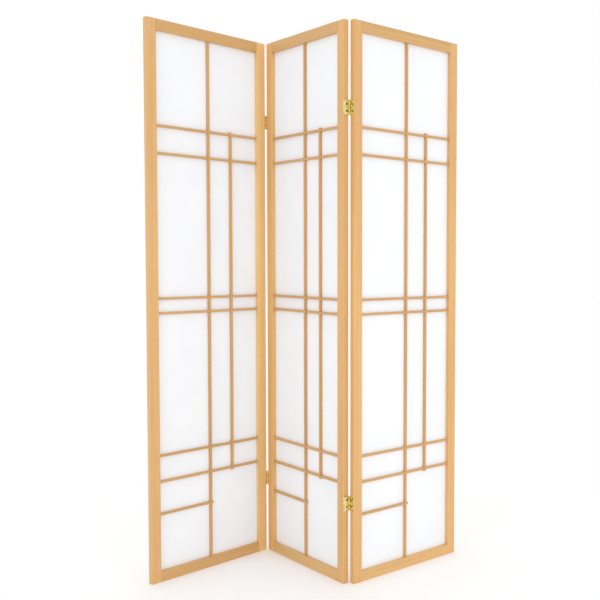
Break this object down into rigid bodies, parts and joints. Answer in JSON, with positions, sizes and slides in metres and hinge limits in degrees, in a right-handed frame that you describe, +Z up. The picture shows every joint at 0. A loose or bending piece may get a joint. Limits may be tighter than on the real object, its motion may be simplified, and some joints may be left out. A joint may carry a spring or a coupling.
{
  "type": "folding shoji screen",
  "caption": "Free-standing folding shoji screen: lattice-and-paper panels in a light wood frame, joined edge to edge by brass two-way pin hinges.",
  "frame": {"origin": "middle of the screen's footprint on the floor as it stands open, at the bottom centre of its bounding box", "axes": "+X along the screen's length, to the right as its front is seen; +Y from its front to its back; +Z up"},
  "size_m": [0.9868, 0.3554, 1.784],
  "materials": {
    "stile_wood": "satin clear-lacquered light honey wood, grain along the stile",
    "rail_wood": "satin clear-lacquered light honey wood, a little darker, grain along the rail",
    "lattice_wood": "satin clear-lacquered light honey wood, grain along the bar",
    "paper": "matt translucent white shoji paper with faint fibres",
    "hinge_brass": "polished",
    "screw_brass": "polished"
  },
  "bodies": {
    "centre_panel": {"centre_panel_left_stile": "stile_wood", "centre_panel_right_stile": "stile_wood", "centre_panel_top_rail": "rail_wood", "centre_panel_bottom_rail": "rail_wood", "centre_panel_paper": "paper", "centre_panel_long_upright": "lattice_wood", "centre_panel_short_upright": "lattice_wood", "centre_panel_short_cross_bar": "lattice_wood", "centre_panel_cross_bar_1": "lattice_wood", "centre_panel_cross_bar_2": "lattice_wood", "centre_panel_cross_bar_3": "lattice_wood", "centre_panel_cross_bar_4": "lattice_wood", "centre_panel_cross_bar_5": "lattice_wood", "centre_panel_cross_bar_6": "lattice_wood", "upper_left_right_leaf": "hinge_brass", "lower_left_right_leaf": "hinge_brass", "upper_right_left_leaf": "hinge_brass", "lower_right_left_leaf": "hinge_brass", "centre_panel_left_hinge_screws": "screw_brass", "centre_panel_right_hinge_screws": "screw_brass"},
    "left_link": {"upper_left_link": "hinge_brass", "lower_left_link": "hinge_brass", "left_link_pins": "hinge_brass"},
    "left_panel": {"left_panel_left_stile": "stile_wood", "left_panel_right_stile": "stile_wood", "left_panel_top_rail": "rail_wood", "left_panel_bottom_rail": "rail_wood", "left_panel_paper": "paper", "left_panel_long_upright": "lattice_wood", "left_panel_short_upright": "lattice_wood", "left_panel_short_cross_bar": "lattice_wood", "left_panel_cross_bar_1": "lattice_wood", "left_panel_cross_bar_2": "lattice_wood", "left_panel_cross_bar_3": "lattice_wood", "left_panel_cross_bar_4": "lattice_wood", "left_panel_cross_bar_5": "lattice_wood", "left_panel_cross_bar_6": "lattice_wood", "upper_left_left_leaf": "hinge_brass", "lower_left_left_leaf": "hinge_brass", "left_panel_hinge_screws": "screw_brass"},
    "right_link": {"upper_right_link": "hinge_brass", "lower_right_link": "hinge_brass", "right_link_pins": "hinge_brass"},
    "right_panel": {"right_panel_left_stile": "stile_wood", "right_panel_right_stile": "stile_wood", "right_panel_top_rail": "rail_wood", "right_panel_bottom_rail": "rail_wood", "right_panel_paper": "paper", "right_panel_long_upright": "lattice_wood", "right_panel_short_upright": "lattice_wood", "right_panel_short_cross_bar": "lattice_wood", "right_panel_cross_bar_1": "lattice_wood", "right_panel_cross_bar_2": "lattice_wood", "right_panel_cross_bar_3": "lattice_wood", "right_panel_cross_bar_4": "lattice_wood", "right_panel_cross_bar_5": "lattice_wood", "right_panel_cross_bar_6": "lattice_wood", "upper_right_right_leaf": "hinge_brass", "lower_right_right_leaf": "hinge_brass", "right_panel_hinge_screws": "screw_brass"}
  },
  "joints": [
    {"name": "left_back_pin", "type": "hinge", "parent": "centre_panel", "child": "left_link", "pos_m": [-0.15706, 0.17546, 0], "axis": [0, 0, 1], "range_deg": [-90, 0]},
    {"name": "left_front_pin", "type": "hinge", "parent": "left_link", "child": "left_panel", "pos_m": [-0.17214, 0.16202, 0], "axis": [0, 0, 1], "range_deg": [-95, 85]},
    {"name": "right_front_pin", "type": "hinge", "parent": "centre_panel", "child": "right_link", "pos_m": [0.12854, -0.17546, 0], "axis": [0, 0, 1], "range_deg": [-90, 0]},
    {"name": "right_back_pin", "type": "hinge", "parent": "right_link", "child": "right_panel", "pos_m": [0.14362, -0.16202, 0], "axis": [0, 0, 1], "range_deg": [-89.5, 90.5]}
  ]
}
